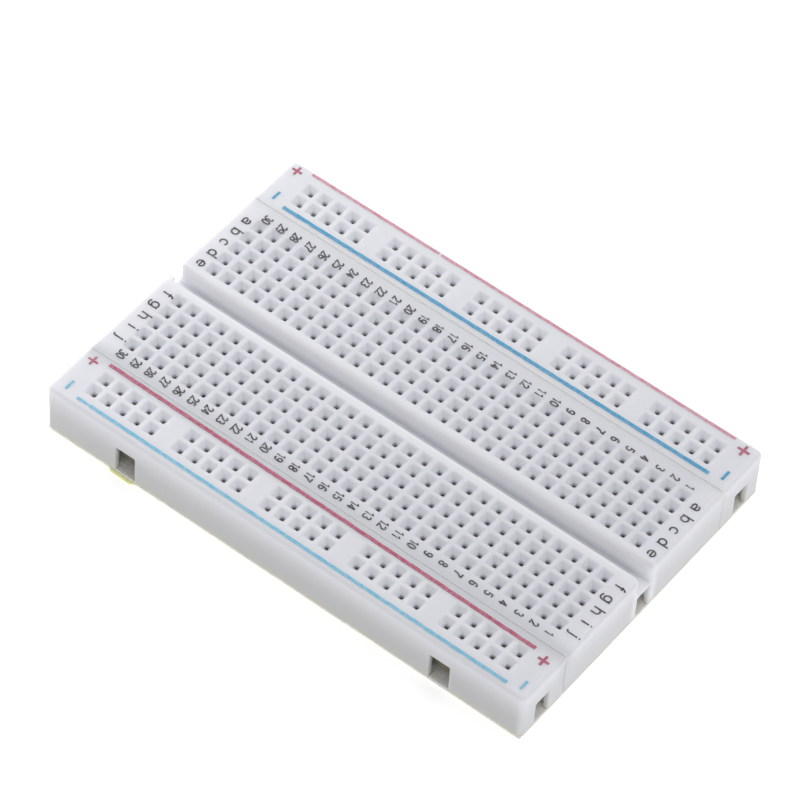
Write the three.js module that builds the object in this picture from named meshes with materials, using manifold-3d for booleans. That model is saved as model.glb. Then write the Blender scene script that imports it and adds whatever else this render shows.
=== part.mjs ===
// Half-size solderless breadboard: a terminal strip and two bus strips that
// join by dovetails, with a spring clip under every row of holes, foam pads
// that close the underside and one release liner over the adhesive.
//
// Frame: millimetres, +Z up. The origin is under the middle of the hole grid,
// on the underside. +X runs towards row 1, +Y towards column a.

import * as THREE from "three";
import { mergeGeometries, mergeVertices } from "three/addons/utils/BufferGeometryUtils.js";
import Module from "manifold-3d";

const wasm = await Module();
wasm.setup();

// ---- Driving dimensions -------------------------------------------------

const PITCH = 2.54;
const LENGTH = 82.0;
const WIDTH = 54.4;
const LINER_THICKNESS = 0.15;
const FOAM_THICKNESS = 0.65;
const BLOCK_HEIGHT = 8.4;
const SEAM_Y = 17.9; // middle of the gap between terminal strip and bus strip
const SEAM_GAP = 0.3;
const FOAM_INSET = 0.15;

const ROWS = 30;
const HOLES_PER_CLIP = 5;
const FIRST_COLUMN = 1.5; // columns e and f stand this many pitches from the middle
const BUS_COLUMN_Y = 0.5; // bus columns, in pitches either side of their middle
const BUS_SHIFT = { front: 0.3, rear: 0 }; // that middle, from the strip's own, towards +Y
const BUS_GROUPS = 5;
const BUS_GROUP_PITCH = 6; // a group of five holes and one blank place

const FUNNEL_SIDE = 1.94; // square mouth of a contact hole
const HOLE_SIDE = 1.0; // square shaft below it
const FUNNEL_DEPTH = 1.05;
const SKIN_THICKNESS = 1.6; // plastic above the clip pockets

const POCKET_WIDTH = 1.94;
const POCKET_MARGIN = 1.1; // pocket length beyond its end holes
const CLIP_GAP = 0.3; // clip to pocket wall, all round

const CLIP_BASE_HALF = POCKET_WIDTH / 2 - CLIP_GAP;
const CLIP_METAL = 0.22;
const CLIP_PINCH_HALF = 0.08; // half the slot left between the two leaves
const CLIP_PINCH_HEIGHT = 4.7;
const CLIP_MOUTH_HALF = 0.42;
const CLIP_HEIGHT = 6.2;

const RAVINE_WIDTH = 2.6;
const RAVINE_DEPTH = 3.4;
const CORE_WIDTH = 3.6; // hollow in the underside below the ravine
const CORE_HEIGHT = 3.4;
const CORE_LENGTH = 70;

// Dovetails: a socket is a window with a wider room behind it, closed above
// and open below. A tab is the neck and head that fill it.
const SIDE_DOVETAIL_X = 27.1;
const SOCKET_WALL = 0.8;
const SOCKET_ROOM_DEPTH = 1.0;
const SOCKET_ROOM_EXTRA = 0.65; // room beyond the window at each side
const DOVETAIL_FIT = 0.15;
const SIDE_SOCKET = { window: 3.3, height: 4.9 };
const END_SOCKET = { window: 2.9, height: 4.4 };

// ---- Derived levels -----------------------------------------------------

const FOAM_Z = LINER_THICKNESS;
const BLOCK_Z = FOAM_Z + FOAM_THICKNESS;
const TOP_Z = BLOCK_Z + BLOCK_HEIGHT;
const CEILING_Z = TOP_Z - SKIN_THICKNESS;
const TERMINAL_HALF_Y = SEAM_Y - SEAM_GAP / 2;
const STRIP_INNER_Y = SEAM_Y + SEAM_GAP / 2;
const STRIP_WIDTH = WIDTH / 2 - STRIP_INNER_Y;
const STRIP_MIDDLE_Y = (WIDTH / 2 + STRIP_INNER_Y) / 2;
const CLIP_SPAN = (HOLES_PER_CLIP - 1) * PITCH;
const CLIP_MIDDLE_Y = (FIRST_COLUMN + (HOLES_PER_CLIP - 1) / 2) * PITCH;
const BUS_SPAN = (BUS_GROUPS * BUS_GROUP_PITCH - 2) * PITCH;
const EPS = 0.2; // how far a cutter runs past the face it opens

// ---- Geometry helpers ---------------------------------------------------

function toManifold(geometry) {
  const plain = geometry.clone();
  plain.deleteAttribute("normal");
  plain.deleteAttribute("uv");
  const merged = mergeVertices(plain, 1e-4);
  const index = merged.index.array;
  const triangles = [];
  for (let i = 0; i < index.length; i += 3) {
    const [a, b, c] = [index[i], index[i + 1], index[i + 2]];
    if (a !== b && b !== c && c !== a) {
      triangles.push(a, b, c);
    }
  }
  return new wasm.Manifold(new wasm.Mesh({
    numProp: 3,
    vertProperties: new Float32Array(merged.attributes.position.array),
    triVerts: new Uint32Array(triangles),
  }));
}

function toGeometry(manifold) {
  const mesh = manifold.getMesh();
  const geometry = new THREE.BufferGeometry();
  geometry.setAttribute("position", new THREE.BufferAttribute(mesh.vertProperties, 3));
  geometry.setIndex(new THREE.BufferAttribute(mesh.triVerts, 1));
  const flat = geometry.toNonIndexed();
  flat.computeVertexNormals();
  return flat;
}

// A box given by its lowest and highest corners.
function box(low, high) {
  const size = high.map((value, i) => value - low[i]);
  const middle = high.map((value, i) => (value + low[i]) / 2);
  return new THREE.BoxGeometry(...size).translate(...middle);
}

// Separate cutters that don't touch go into one solid and cut in one pass.
function cutter(geometries) {
  return toManifold(mergeGeometries(geometries.map((g) => g.toNonIndexed())));
}

// ---- Hole layout --------------------------------------------------------

const rowX = (row) => ((ROWS + 1) / 2 - row) * PITCH;

function terminalHoles() {
  const places = [];
  for (let row = 1; row <= ROWS; row += 1) {
    for (const side of [-1, 1]) {
      for (let i = 0; i < HOLES_PER_CLIP; i += 1) {
        places.push([rowX(row), side * (FIRST_COLUMN + i) * PITCH]);
      }
    }
  }
  return places;
}

function busHoles(shift) {
  const places = [];
  for (let group = 0; group < BUS_GROUPS; group += 1) {
    const groupX = (group - (BUS_GROUPS - 1) / 2) * BUS_GROUP_PITCH * PITCH;
    for (let i = 0; i < HOLES_PER_CLIP; i += 1) {
      const x = groupX + (i - (HOLES_PER_CLIP - 1) / 2) * PITCH;
      places.push([x, shift - BUS_COLUMN_Y * PITCH], [x, shift + BUS_COLUMN_Y * PITCH]);
    }
  }
  return places;
}

// A square funnel over a square shaft, as a four-sided lathe turned upright.
function holeCutter() {
  const corner = (side) => side / Math.SQRT2;
  const slope = (FUNNEL_SIDE - HOLE_SIDE) / FUNNEL_DEPTH;
  const profile = [
    new THREE.Vector2(0, CEILING_Z - EPS),
    new THREE.Vector2(corner(HOLE_SIDE), CEILING_Z - EPS),
    new THREE.Vector2(corner(HOLE_SIDE), TOP_Z - FUNNEL_DEPTH),
    new THREE.Vector2(corner(FUNNEL_SIDE + slope * EPS), TOP_Z + EPS),
    new THREE.Vector2(0, TOP_Z + EPS),
  ];
  return new THREE.LatheGeometry(profile, 4, Math.PI / 4).rotateX(Math.PI / 2);
}

function cutHoles(block, places) {
  const hole = holeCutter();
  return block.subtract(cutter(places.map(([x, y]) => hole.clone().translate(x, y, 0))));
}

// ---- Dovetails ----------------------------------------------------------

// Both are drawn with the joining face on y = 0 and the neighbour at -y, then
// turned about Z and moved to their wall.
function place(geometry, turn, x, y) {
  return geometry.rotateZ(turn).translate(x, y, 0);
}

function socket(kind, turn, x, y) {
  const half = kind.window / 2;
  const roomHalf = half + SOCKET_ROOM_EXTRA;
  const top = BLOCK_Z + kind.height;
  const back = SOCKET_WALL + SOCKET_ROOM_DEPTH;
  const window = box([-half, -EPS, BLOCK_Z - EPS], [half, back, top]);
  const room = box([-roomHalf, SOCKET_WALL, BLOCK_Z - EPS], [roomHalf, back, top]);
  return toManifold(place(window, turn, x, y)).add(toManifold(place(room, turn, x, y)));
}

// A tab's neck crosses the seam gap and the socket's wall.
function tab(kind, turn, x, y) {
  const half = kind.window / 2 - DOVETAIL_FIT;
  const headHalf = half + SOCKET_ROOM_EXTRA;
  const top = BLOCK_Z + kind.height - DOVETAIL_FIT;
  const headStart = -(SEAM_GAP + SOCKET_WALL + DOVETAIL_FIT);
  const end = -(SEAM_GAP + SOCKET_WALL + SOCKET_ROOM_DEPTH - DOVETAIL_FIT);
  const neck = box([-half, end, BLOCK_Z], [half, EPS, top]);
  const head = box([-headHalf, end, BLOCK_Z], [headHalf, headStart, top]);
  return toManifold(place(neck, turn, x, y)).add(toManifold(place(head, turn, x, y)));
}

// Sockets face -Y and +X, tabs face +Y and -X.
function dovetails(block, halfY) {
  const quarter = Math.PI / 2;
  let joined = block
    .subtract(socket(END_SOCKET, quarter, LENGTH / 2, 0))
    .add(tab(END_SOCKET, -quarter, -LENGTH / 2, 0));
  for (const x of [-SIDE_DOVETAIL_X, SIDE_DOVETAIL_X]) {
    joined = joined
      .subtract(socket(SIDE_SOCKET, 0, x, -halfY))
      .add(tab(SIDE_SOCKET, Math.PI, x, halfY));
  }
  return joined;
}

// ---- Moulded blocks -----------------------------------------------------

const blank = (halfY) => box([-LENGTH / 2, -halfY, BLOCK_Z], [LENGTH / 2, halfY, TOP_Z]);

function pocket(x, y, halfX, halfY) {
  return box([x - halfX, y - halfY, BLOCK_Z - EPS], [x + halfX, y + halfY, CEILING_Z]);
}

// Clips f to j come in pairs, one pair to a node, and each pair's link crosses
// the wall between its two pockets through a notch in the underside.
const LINK_WIDTH = 0.3;
const LINK_HEIGHT = 0.25;
const pairRows = Array.from({ length: ROWS / 2 }, (_, i) => 2 * i + 1);

function linkNotch(row) {
  const x = rowX(row) - PITCH / 2;
  const halfX = PITCH / 2 - POCKET_WIDTH / 2 + EPS;
  const halfY = LINK_WIDTH / 2 + CLIP_GAP;
  const top = BLOCK_Z + LINK_HEIGHT + 2 * CLIP_GAP;
  return box(
    [x - halfX, -CLIP_MIDDLE_Y - halfY, BLOCK_Z - EPS],
    [x + halfX, -CLIP_MIDDLE_Y + halfY, top],
  );
}

function terminalBlock() {
  const pockets = [];
  for (let row = 1; row <= ROWS; row += 1) {
    for (const side of [-1, 1]) {
      pockets.push(pocket(
        rowX(row),
        side * CLIP_MIDDLE_Y,
        POCKET_WIDTH / 2,
        CLIP_SPAN / 2 + POCKET_MARGIN,
      ));
    }
  }
  const ravine = box(
    [-LENGTH / 2 - EPS, -RAVINE_WIDTH / 2, TOP_Z - RAVINE_DEPTH],
    [LENGTH / 2 + EPS, RAVINE_WIDTH / 2, TOP_Z + EPS],
  );
  const core = box(
    [-CORE_LENGTH / 2, -CORE_WIDTH / 2, BLOCK_Z - EPS],
    [CORE_LENGTH / 2, CORE_WIDTH / 2, BLOCK_Z + CORE_HEIGHT],
  );
  const shell = toManifold(blank(TERMINAL_HALF_Y))
    .subtract(cutter(pockets))
    .subtract(cutter([ravine, core]))
    .subtract(cutter(pairRows.map(linkNotch)));
  return toGeometry(dovetails(cutHoles(shell, terminalHoles()), TERMINAL_HALF_Y));
}

function busBlock(shift) {
  const pockets = [-1, 1].map((side) => pocket(
    0,
    shift + side * BUS_COLUMN_Y * PITCH,
    BUS_SPAN / 2 + POCKET_MARGIN,
    POCKET_WIDTH / 2,
  ));
  const shell = toManifold(blank(STRIP_WIDTH / 2)).subtract(cutter(pockets));
  return toGeometry(dovetails(cutHoles(shell, busHoles(shift)), STRIP_WIDTH / 2));
}

// ---- Spring clips -------------------------------------------------------

// Two leaves rise from a flat spine, lean in until they nearly touch and
// flare out again below the holes. The section is extruded along the clip.
function clip(span) {
  const right = [
    [CLIP_BASE_HALF, 0],
    [CLIP_PINCH_HALF + CLIP_METAL, CLIP_PINCH_HEIGHT],
    [CLIP_MOUTH_HALF + CLIP_METAL, CLIP_HEIGHT],
    [CLIP_MOUTH_HALF, CLIP_HEIGHT],
    [CLIP_PINCH_HALF, CLIP_PINCH_HEIGHT],
    [CLIP_BASE_HALF - CLIP_METAL, CLIP_METAL],
  ];
  const left = right.map(([x, z]) => [-x, z]).reverse();
  const outline = new THREE.Shape([...right, ...left].map(([x, z]) => new THREE.Vector2(x, z)));
  const length = span + 2 * (POCKET_MARGIN - CLIP_GAP);
  return new THREE.ExtrudeGeometry(outline, { depth: length, bevelEnabled: false })
    .translate(0, 0, -length / 2)
    .rotateX(Math.PI / 2)
    .translate(0, 0, BLOCK_Z + CLIP_GAP);
}

// Two clips, for a row and the next one, with their link.
function clipPair() {
  const one = toManifold(clip(CLIP_SPAN).translate(PITCH / 2, 0, 0));
  const two = toManifold(clip(CLIP_SPAN).translate(-PITCH / 2, 0, 0));
  const reach = PITCH / 2 - CLIP_BASE_HALF + CLIP_METAL;
  const base = BLOCK_Z + CLIP_GAP;
  const link = toManifold(box(
    [-reach, -LINK_WIDTH / 2, base],
    [reach, LINK_WIDTH / 2, base + LINK_HEIGHT],
  ));
  return toGeometry(one.add(link).add(two));
}

// ---- Foam and liner -----------------------------------------------------

// A pad lies under its block. Where tabs of the next strip reach over it, it
// is notched so that the strips can be lifted apart.
function foamPad(halfY, notched) {
  const halfX = LENGTH / 2 - FOAM_INSET;
  const edge = halfY - FOAM_INSET;
  const half = SIDE_SOCKET.window / 2 + SOCKET_ROOM_EXTRA + CLIP_GAP;
  const depth = SOCKET_WALL + SOCKET_ROOM_DEPTH + CLIP_GAP;
  const shape = new THREE.Shape();
  shape.moveTo(-halfX, -edge);
  if (notched) {
    for (const x of [-SIDE_DOVETAIL_X, SIDE_DOVETAIL_X]) {
      shape.lineTo(x - half, -edge);
      shape.lineTo(x - half, -halfY + depth);
      shape.lineTo(x + half, -halfY + depth);
      shape.lineTo(x + half, -edge);
    }
  }
  shape.lineTo(halfX, -edge);
  shape.lineTo(halfX, edge);
  shape.lineTo(-halfX, edge);
  return new THREE.ExtrudeGeometry(shape, { depth: FOAM_THICKNESS, bevelEnabled: false })
    .translate(0, 0, FOAM_Z);
}

function releaseLiner() {
  return box([-LENGTH / 2, -WIDTH / 2, 0], [LENGTH / 2, WIDTH / 2, LINER_THICKNESS]);
}

// ---- Materials ----------------------------------------------------------

const finish = (color, roughness, metalness) => () => (
  new THREE.MeshStandardMaterial({ color, roughness, metalness })
);
const abs = finish(0xe6e7ec, 0.45, 0);
const springMetal = finish(0xc9c7bf, 0.3, 1);
const foam = finish(0xe9e6d8, 0.9, 0);
const linerPaper = finish(0xe8d56a, 0.5, 0);

// ---- Assembly -----------------------------------------------------------

const breadboard = new THREE.Group();

function addPiece(parent, name, geometry, material, x = 0, y = 0) {
  const mesh = new THREE.Mesh(geometry, material());
  mesh.name = name;
  mesh.position.set(x, y, 0);
  parent.add(mesh);
}

const twoDigits = (number) => String(number).padStart(2, "0");

function addTerminalStrip() {
  const strip = new THREE.Group();
  addPiece(strip, "terminal_strip_block", terminalBlock(), abs);
  const single = clip(CLIP_SPAN);
  for (let row = 1; row <= ROWS; row += 1) {
    addPiece(strip, `clip_ae_row_${twoDigits(row)}`, single, springMetal, rowX(row), CLIP_MIDDLE_Y);
  }
  const pair = clipPair();
  for (const row of pairRows) {
    const name = `clips_fj_rows_${twoDigits(row)}_${twoDigits(row + 1)}`;
    addPiece(strip, name, pair, springMetal, rowX(row) - PITCH / 2, -CLIP_MIDDLE_Y);
  }
  addPiece(strip, "terminal_foam_pad", foamPad(TERMINAL_HALF_Y, true), foam);
  breadboard.add(strip);
}

function addBusStrip(prefix, side) {
  const strip = new THREE.Group();
  strip.position.y = side * STRIP_MIDDLE_Y;
  const shift = BUS_SHIFT[prefix];
  const columnY = BUS_COLUMN_Y * PITCH;
  const busClip = clip(BUS_SPAN).rotateZ(Math.PI / 2);
  addPiece(strip, `${prefix}_bus_strip_block`, busBlock(shift), abs);
  addPiece(strip, `${prefix}_negative_bus_clip`, busClip, springMetal, 0, shift - columnY);
  addPiece(strip, `${prefix}_positive_bus_clip`, busClip, springMetal, 0, shift + columnY);
  addPiece(strip, `${prefix}_foam_pad`, foamPad(STRIP_WIDTH / 2, side > 0), foam);
  breadboard.add(strip);
}

addBusStrip("front", -1);
addTerminalStrip();
addBusStrip("rear", 1);
addPiece(breadboard, "release_liner", releaseLiner(), linerPaper);

export default breadboard;
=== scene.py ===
"""The looks of a half-size solderless breadboard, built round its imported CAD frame.

Lengths are in millimetres in the CAD frame where no comment says metres, and become
metres where a mesh or a camera is made. +X runs towards row 1, +Y towards column a.
"""

import math

import bmesh
import bpy
import numpy as np
from mathutils import Matrix, Vector


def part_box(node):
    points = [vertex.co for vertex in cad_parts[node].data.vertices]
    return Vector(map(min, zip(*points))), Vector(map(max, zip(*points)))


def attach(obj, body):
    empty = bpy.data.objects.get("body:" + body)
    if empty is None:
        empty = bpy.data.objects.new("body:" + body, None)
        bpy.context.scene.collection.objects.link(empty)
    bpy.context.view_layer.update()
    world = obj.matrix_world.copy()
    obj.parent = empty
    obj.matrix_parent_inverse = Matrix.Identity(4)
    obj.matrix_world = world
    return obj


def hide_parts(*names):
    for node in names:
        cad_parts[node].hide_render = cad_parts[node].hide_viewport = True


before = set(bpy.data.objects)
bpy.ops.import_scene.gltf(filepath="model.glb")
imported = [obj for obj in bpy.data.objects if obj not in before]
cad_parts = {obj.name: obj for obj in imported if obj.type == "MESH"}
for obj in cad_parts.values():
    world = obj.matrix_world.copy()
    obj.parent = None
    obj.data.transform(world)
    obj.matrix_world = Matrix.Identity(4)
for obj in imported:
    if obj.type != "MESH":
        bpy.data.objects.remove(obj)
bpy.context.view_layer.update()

MM = 0.001

# ---- Dimensions shared with the CAD model ----

PITCH = 2.54
ROWS = 30
HOLES_PER_CLIP = 5
FIRST_COLUMN = 1.5          # columns e and f, in pitches from the middle
BUS_GROUPS = 5
BUS_GROUP_PITCH = 6         # in pitches: five holes and a blank place
SKIN = 1.6                  # plastic above the clip pockets
POCKET_WIDTH = 1.94
POCKET_MARGIN = 1.1         # pocket beyond its end holes
RAVINE_WIDTH = 2.6
RAVINE_DEPTH = 3.4
CORE_WIDTH = 3.6
CORE_HEIGHT = 3.4
CORE_LENGTH = 70.0
DOVETAIL_X = 27.1
SOCKET_WALL = 0.8
ROOM_DEPTH = 1.0
SOCKET_BACK = SOCKET_WALL + ROOM_DEPTH
ROOM_EXTRA = 0.65
DOVETAIL_FIT = 0.15
SEAM_GAP = 0.3
SIDE_SOCKET = (3.3, 4.9)    # window width and height
END_SOCKET = (2.9, 4.4)
CLIP_GAP = 0.3              # clip to pocket wall

# ---- Dimensions of the visible finish ----

OUTER_RIM = 0.7             # fillets round a block's top: its outer sides,
END_RIM = 0.55              # its ends,
SEAM_RIM = 0.006            # the sides that join another block
RAVINE_NEAR_RIM = 0.3       # the ravine's side next to column f
RAVINE_FAR_RIM = 1.15       # and its side next to column e
SEAM_GROWTH = 0.148         # how far a block's joining side stands out into the seam
CORNER_FILLET = 0.9         # vertical corners of the whole board
SEAM_CORNER = 0.3           # vertical corners at a seam
RAVINE_CORNER = 1.0         # vertical edges where the ravine runs out
RAVINE_RAMP = 0.9           # height over which that edge starts from sharp
FOOT_FILLET = 0.15
WINDOW_FILLET = 0.32
TAB_FILLET = 0.2
INK_THICKNESS = 0.012
INK_ROOT = 0.02             # its underside lies this far inside the plastic
INK_STEP = 0.002            # between overlapping pen strokes,
INK_LEVELS = 4              # which take turns at this many heights
INK_REACH = 0.98            # how far down a rounded edge ink can go, as a share of its radius


def low_high(node):
    """A CAD node's lowest and highest corners in millimetres."""
    low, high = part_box(node)
    return np.array(low) / MM, np.array(high) / MM


LINER_LOW, LINER_HIGH = low_high("release_liner")
TERMINAL_LOW, TERMINAL_HIGH = low_high("terminal_strip_block")

END_X = LINER_HIGH[0]
FRONT_Y = LINER_LOW[1]
REAR_Y = LINER_HIGH[1]
BASE_Z = TERMINAL_LOW[2]
TOP_Z = TERMINAL_HIGH[2]
CEILING_Z = TOP_Z - SKIN
RAVINE_Z = TOP_Z - RAVINE_DEPTH
TERMINAL_HALF = -TERMINAL_LOW[1]
STRIP_INNER = low_high("rear_bus_strip_block")[0][1]
SEAM_Y = (TERMINAL_HALF + STRIP_INNER) / 2


def row_x(row):
    return ((ROWS + 1) / 2 - row) * PITCH


COLUMNS = "abcdefghij"
CLIP_SPAN = (HOLES_PER_CLIP - 1) * PITCH
CLIP_Y = FIRST_COLUMN * PITCH + CLIP_SPAN / 2    # the middle of a row's clip


def column_y(letter):
    """Columns a to e run down from the rear, f to j on towards the front."""
    index = COLUMNS.index(letter)
    if index < HOLES_PER_CLIP:
        return (FIRST_COLUMN + HOLES_PER_CLIP - 1 - index) * PITCH
    return -(FIRST_COLUMN + index - HOLES_PER_CLIP) * PITCH


def bus_columns(side):
    """The y of a bus strip's negative and positive columns."""
    boxes = [low_high(f"{side}_{sign}_bus_clip") for sign in ("negative", "positive")]
    return [float((low + high)[1] / 2) for low, high in boxes]


# ---- Camera ----


def outward(azimuth, elevation):
    """The direction from the object at two angles in degrees. Azimuth 0 is the front."""
    a, e = math.radians(azimuth), math.radians(elevation)
    return Vector((math.sin(a) * math.cos(e), -math.cos(a) * math.cos(e), math.sin(e)))


def add_to_scene(name, data):
    made = bpy.data.objects.new(name, data)
    bpy.context.scene.collection.objects.link(made)
    return made


def make_camera(azimuth, elevation, roll, aim, distance, lens):
    """A camera at the photograph's angle. Angles are in degrees."""
    r = math.radians(roll)
    back = outward(azimuth, elevation)
    level = (-back).cross(Vector((0, 0, 1))).normalized()
    down = (-back).cross(level)
    right = level * math.cos(r) + down * math.sin(r)
    up = back.cross(right)
    data = bpy.data.cameras.new("camera")
    data.lens = lens
    data.sensor_width = 36
    data.clip_start = 0.02
    data.clip_end = 20
    camera = add_to_scene("camera", data)
    place = (Vector(aim) + back * distance) * MM
    turn = Matrix((right, up, back)).transposed().to_4x4()
    camera.matrix_world = Matrix.Translation(place) @ turn
    bpy.context.scene.camera = camera


make_camera(
    azimuth=34.409, elevation=51.161, roll=-4.536,
    aim=(-3.097, 2.885, 8.15), distance=686.68, lens=225.24,
)

# ---- Node helpers for materials ----


class Nodes:
    """Short calls that add nodes to a tree."""

    def __init__(self, tree):
        self.tree = tree

    def node(self, kind, **settings):
        made = self.tree.nodes.new(kind)
        for key, value in settings.items():
            setattr(made, key, value)
        return made

    def link(self, source, target):
        self.tree.links.new(source, target)

    def axis(self, vector, name):
        """The X, Y or Z part of a vector."""
        split = self.node("ShaderNodeSeparateXYZ")
        self.link(vector, split.inputs["Vector"])
        return split.outputs[name]

    def feed(self, socket, value):
        """Sets a socket to a number or a colour, or links another socket to it."""
        if isinstance(value, bpy.types.NodeSocket):
            self.link(value, socket)
        else:
            socket.default_value = (*value, 1.0) if isinstance(value, tuple) else value

    def math(self, operation, first, second=0.0):
        made = self.node("ShaderNodeMath", operation=operation)
        self.feed(made.inputs[0], first)
        self.feed(made.inputs[1], second)
        return made.outputs["Value"]

    def product(self, first, *others):
        for other in others:
            first = self.math("MULTIPLY", first, other)
        return first


class Shader(Nodes):
    """A Principled material with procedural detail, placed by the object coordinate."""

    def __init__(self, name, **sockets):
        self.material = bpy.data.materials.new(name)
        self.material.use_nodes = True
        super().__init__(self.material.node_tree)
        self.principled = self.tree.nodes["Principled BSDF"]
        self.place = self.node("ShaderNodeTexCoord").outputs["Object"]
        for socket, value in sockets.items():
            self.principled.inputs[socket.replace("_", " ")].default_value = value

    def stretched(self, scale):
        """The object coordinate with each axis scaled, in cells per millimetre."""
        mapping = self.node("ShaderNodeMapping")
        mapping.inputs["Scale"].default_value = [value / MM for value in scale]
        self.link(self.place, mapping.inputs["Vector"])
        return mapping.outputs["Vector"]

    def texture(self, kind, output, scale, **settings):
        made = self.node(kind)
        for name, value in {"Scale": 1.0, **settings}.items():
            made.inputs[name].default_value = value
        self.link(self.stretched(scale), made.inputs["Vector"])
        return made.outputs[output]

    def noise(self, scale, detail=3.0, roughness=0.55, distortion=0.0):
        settings = {"Detail": detail, "Roughness": roughness, "Distortion": distortion}
        return self.texture("ShaderNodeTexNoise", "Fac", scale, **settings)

    def cells(self, scale):
        return self.texture("ShaderNodeTexVoronoi", "Distance", scale)

    def coordinate(self, name):
        """The object's X, Y or Z coordinate in millimetres."""
        return self.axis(self.stretched((1, 1, 1)), name)

    def remap(self, value, low, high, to_low=0.0, to_high=1.0):
        made = self.node("ShaderNodeMapRange", interpolation_type="SMOOTHSTEP")
        ends = {"From Min": low, "From Max": high, "To Min": to_low, "To Max": to_high}
        for key, number in ends.items():
            made.inputs[key].default_value = number
        self.link(value, made.inputs["Value"])
        return made.outputs["Result"]

    def fade(self, value, low, high, strength=1.0):
        """A strength that falls to nothing as the value goes from low to high."""
        return self.remap(value, low, high, strength, 0.0)

    def patches(self, scale, low, high, to_low=0.0, to_high=1.0, **noise):
        """Noise with its levels from low to high spread over a range."""
        return self.remap(self.noise(scale, **noise), low, high, to_low, to_high)

    def mix(self, factor, first, second):
        """Colours mixed by a factor. Each colour is a tuple or a socket."""
        made = self.node("ShaderNodeMix", data_type="RGBA")
        colour_a, colour_b, result = made.inputs[6], made.inputs[7], made.outputs[2]
        self.link(factor, made.inputs["Factor"])
        self.feed(colour_a, first)
        self.feed(colour_b, second)
        return result

    def colour(self, socket):
        self.link(socket, self.principled.inputs["Base Color"])

    def roughness(self, socket):
        self.link(socket, self.principled.inputs["Roughness"])

    def bump(self, *layers):
        """Stacks bump layers, each (height socket, depth in millimetres)."""
        normal = None
        for height, depth in layers:
            made = self.node("ShaderNodeBump")
            made.inputs["Strength"].default_value = 1.0
            made.inputs["Distance"].default_value = depth * MM
            self.link(height, made.inputs["Height"])
            if normal is not None:
                self.link(normal, made.inputs["Normal"])
            normal = made.outputs["Normal"]
        self.link(normal, self.principled.inputs["Normal"])


# ---- Materials ----

PLASTIC_WHITE = (0.875, 0.88, 0.92)
PLASTIC_COOL = (0.855, 0.86, 0.915)
# The next seven colours are painted shade and painted highlights, laid over the plastic by place.
PLASTIC_FOOT_SHADE = (0.57, 0.57, 0.575)
PLASTIC_BASE_SHADE = (0.64, 0.64, 0.53)
PLASTIC_RAVINE_SHADE = (0.74, 0.74, 0.775)
PLASTIC_RAVINE_HIGHLIGHT = (0.94, 0.945, 0.98)
PLASTIC_SEAM_SHADE = (0.70, 0.705, 0.74)
PLASTIC_SEAM_HIGHLIGHT = (0.985, 0.985, 1.0)
PLASTIC_FIELD_SHADE = (0.74, 0.745, 0.785)
PLASTIC_SPECK = (0.60, 0.58, 0.54)


def shade_plastic(shader, tone):
    """Paints shade and highlights into the plastic's colour by place: each painted shade or highlight
    fades between two distances in millimetres.
    """
    x, y, z = (shader.coordinate(name) for name in "XYZ")
    along, across = shader.math("ABSOLUTE", x), shader.math("ABSOLUTE", y)
    away = shader.remap(across, RAVINE_WIDTH / 2 + 0.7, RAVINE_WIDTH / 2 + 1.9)
    # Painted shade: darker towards the foot of the walls, less at the +X end and none in the ravine.
    foot = shader.fade(z, BASE_Z + 2.5, TOP_Z + 1.5, 0.9)
    foot = shader.product(foot, away, shader.remap(x, END_X - 1.2, END_X - 0.3, 1.0, 0.62))
    tone = shader.mix(foot, tone, PLASTIC_FOOT_SHADE)

    # Painted shade in the ravine, darkest at its floor, rising to a painted highlight below its rim; it
    # fades out near the ends.
    deep = shader.remap(z, RAVINE_Z, TOP_Z - 1.6)
    ravine_shading = shader.mix(deep, PLASTIC_RAVINE_SHADE, PLASTIC_RAVINE_HIGHLIGHT)
    inside = shader.fade(across, RAVINE_WIDTH / 2 + 0.2, RAVINE_WIDTH / 2 + 1.0)
    amid = shader.fade(along, END_X - 4.0, END_X - 0.5)
    tone = shader.mix(shader.product(inside, amid), tone, ravine_shading)

    # Painted shade over the terminal strip's hole field, away from the ravine and fading near the ends.
    field = shader.fade(across, TERMINAL_HALF - 0.5, TERMINAL_HALF + 0.5)
    beyond = shader.remap(across, RAVINE_WIDTH / 2 + 1.1, RAVINE_WIDTH / 2 + 2.1)
    rows = shader.fade(along, END_X - 5.0, END_X - 2.0, 0.55)
    tone = shader.mix(shader.product(field, beyond, rows), tone, PLASTIC_FIELD_SHADE)

    # Painted shade: a soft darker band along the front seam.
    front_seam = shader.math("ABSOLUTE", shader.math("ADD", y, SEAM_Y))
    tone = shader.mix(shader.fade(front_seam, 0.2, 2.4, 0.9), tone, PLASTIC_SEAM_SHADE)
    # Painted highlight along the top of both seams, fainter towards the front.
    either_seam = shader.math("ABSOLUTE", shader.math("SUBTRACT", across, SEAM_Y))
    edge = shader.fade(either_seam, 0.08, 0.5)
    upper = shader.remap(z, TOP_Z - 1.0, TOP_Z - 0.3, 0.0, 0.85)
    rear = shader.remap(y, -1.0, 1.0, 0.45, 1.0)
    tone = shader.mix(shader.product(edge, upper, rear), tone, PLASTIC_SEAM_HIGHLIGHT)
    # Painted shade with a yellow cast of light from the liner, in the lowest 1.8 mm near the base.
    return shader.mix(shader.fade(z, BASE_Z, BASE_Z + 1.8, 0.6), tone, PLASTIC_BASE_SHADE)


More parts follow.
